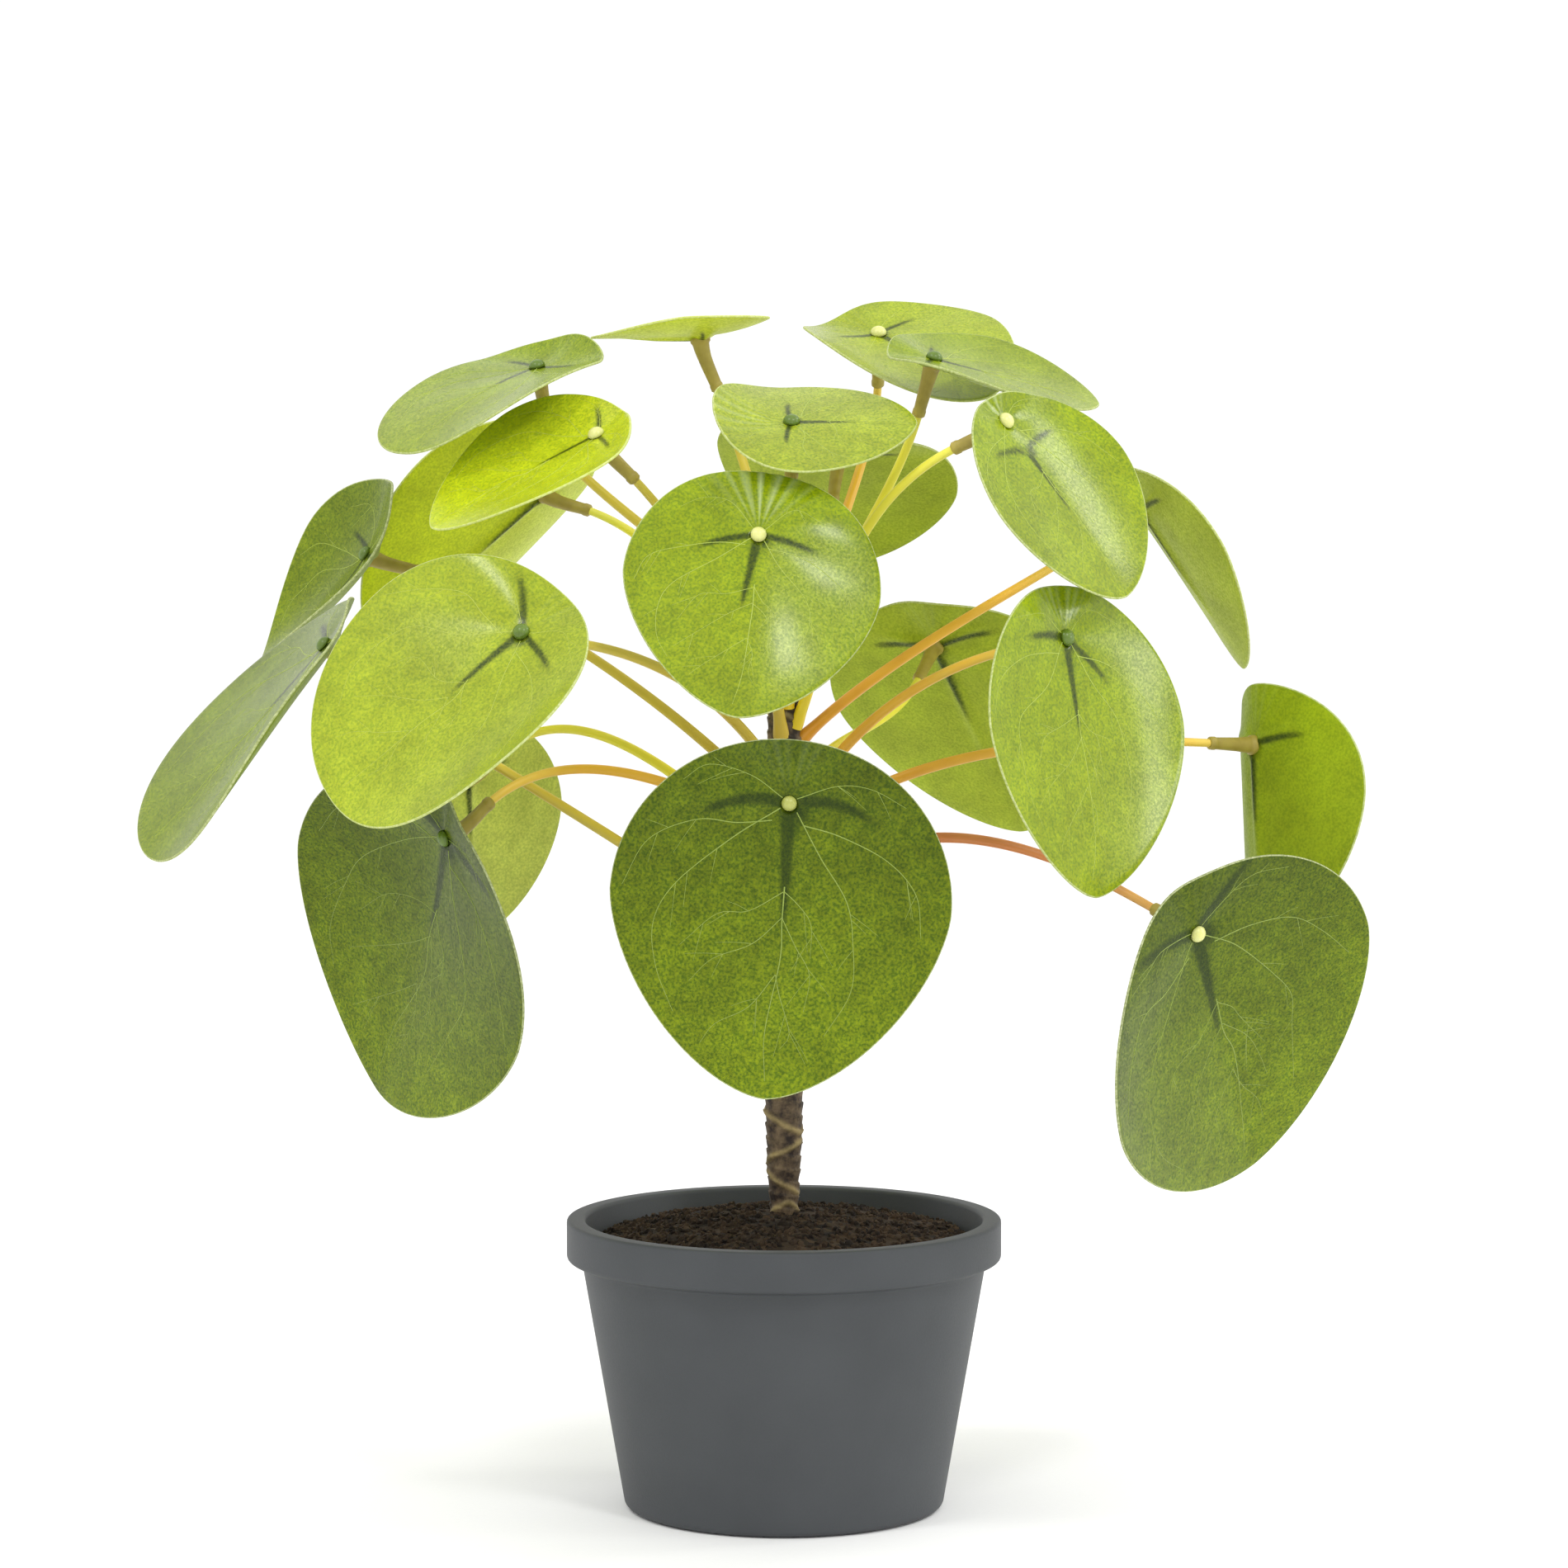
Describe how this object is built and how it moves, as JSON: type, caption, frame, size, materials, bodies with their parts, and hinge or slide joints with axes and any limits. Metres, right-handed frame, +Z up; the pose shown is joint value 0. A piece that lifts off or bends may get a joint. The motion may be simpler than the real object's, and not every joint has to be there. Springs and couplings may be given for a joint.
{
  "type": "potted pilea plant",
  "caption": "Artificial pilea with round, glossy, slightly cupped leaves held at their middles on arching stalks, on a short wrapped trunk in a plain round pot of soil.",
  "frame": {"origin": "centre of the pot's foot, on the surface it stands on", "axes": "+Z up the trunk; the side seen in the picture faces -Y, and +X is to its right"},
  "size_m": [0.2501, 0.1911, 0.2505],
  "materials": {
    "leaf_young": "glossy, slightly see-through, bright yellow-green",
    "leaf_mid": "glossy, slightly see-through, fresh green",
    "leaf_old": "glossy, dark olive green with pale veins",
    "stalk_yellow": "satin yellow",
    "stalk_olive": "satin khaki",
    "stalk_orange": "satin orange",
    "stalk_red": "satin reddish brown",
    "trunk": "matt brown wrapping with paler ring scars",
    "soil": "matt, crumbly",
    "pot": "matt charcoal"
  },
  "bodies": {
    "root": {"pot": "pot", "soil": "soil", "trunk": "trunk", "blade_front_low": "leaf_old", "stalk_front_low": "stalk_olive", "blade_front_mid": "leaf_mid", "stalk_front_mid": "stalk_olive", "blade_front_high": "leaf_mid", "stalk_front_high": "stalk_yellow", "blade_left_front": "leaf_young", "stalk_left_front": "stalk_olive", "blade_left_low": "leaf_old", "stalk_left_low": "stalk_orange", "blade_left_top": "leaf_mid", "stalk_left_top": "stalk_olive", "blade_left_bright": "leaf_young", "stalk_left_bright": "stalk_olive", "blade_left_behind": "leaf_young", "stalk_left_behind": "stalk_yellow", "blade_left_dark": "leaf_mid", "stalk_left_dark": "stalk_olive", "blade_left_side": "leaf_mid", "stalk_left_side": "stalk_olive", "blade_back_low": "leaf_young", "stalk_back_low": "stalk_yellow", "blade_back_mid": "leaf_mid", "stalk_back_mid": "stalk_yellow", "blade_back_right": "leaf_mid", "stalk_back_right": "stalk_yellow", "blade_top_left": "leaf_young", "stalk_top_left": "stalk_olive", "blade_top_back": "leaf_young", "stalk_top_back": "stalk_orange", "blade_top_right": "leaf_young", "stalk_top_right": "stalk_yellow", "blade_right_high": "leaf_mid", "stalk_right_high": "stalk_yellow", "blade_right_edge": "leaf_mid", "stalk_right_edge": "stalk_orange", "blade_right_mid": "leaf_mid", "stalk_right_mid": "stalk_orange", "blade_right_side": "leaf_mid", "stalk_right_side": "stalk_orange", "blade_right_low": "leaf_old", "stalk_right_low": "stalk_red"}
  },
  "joints": []
}
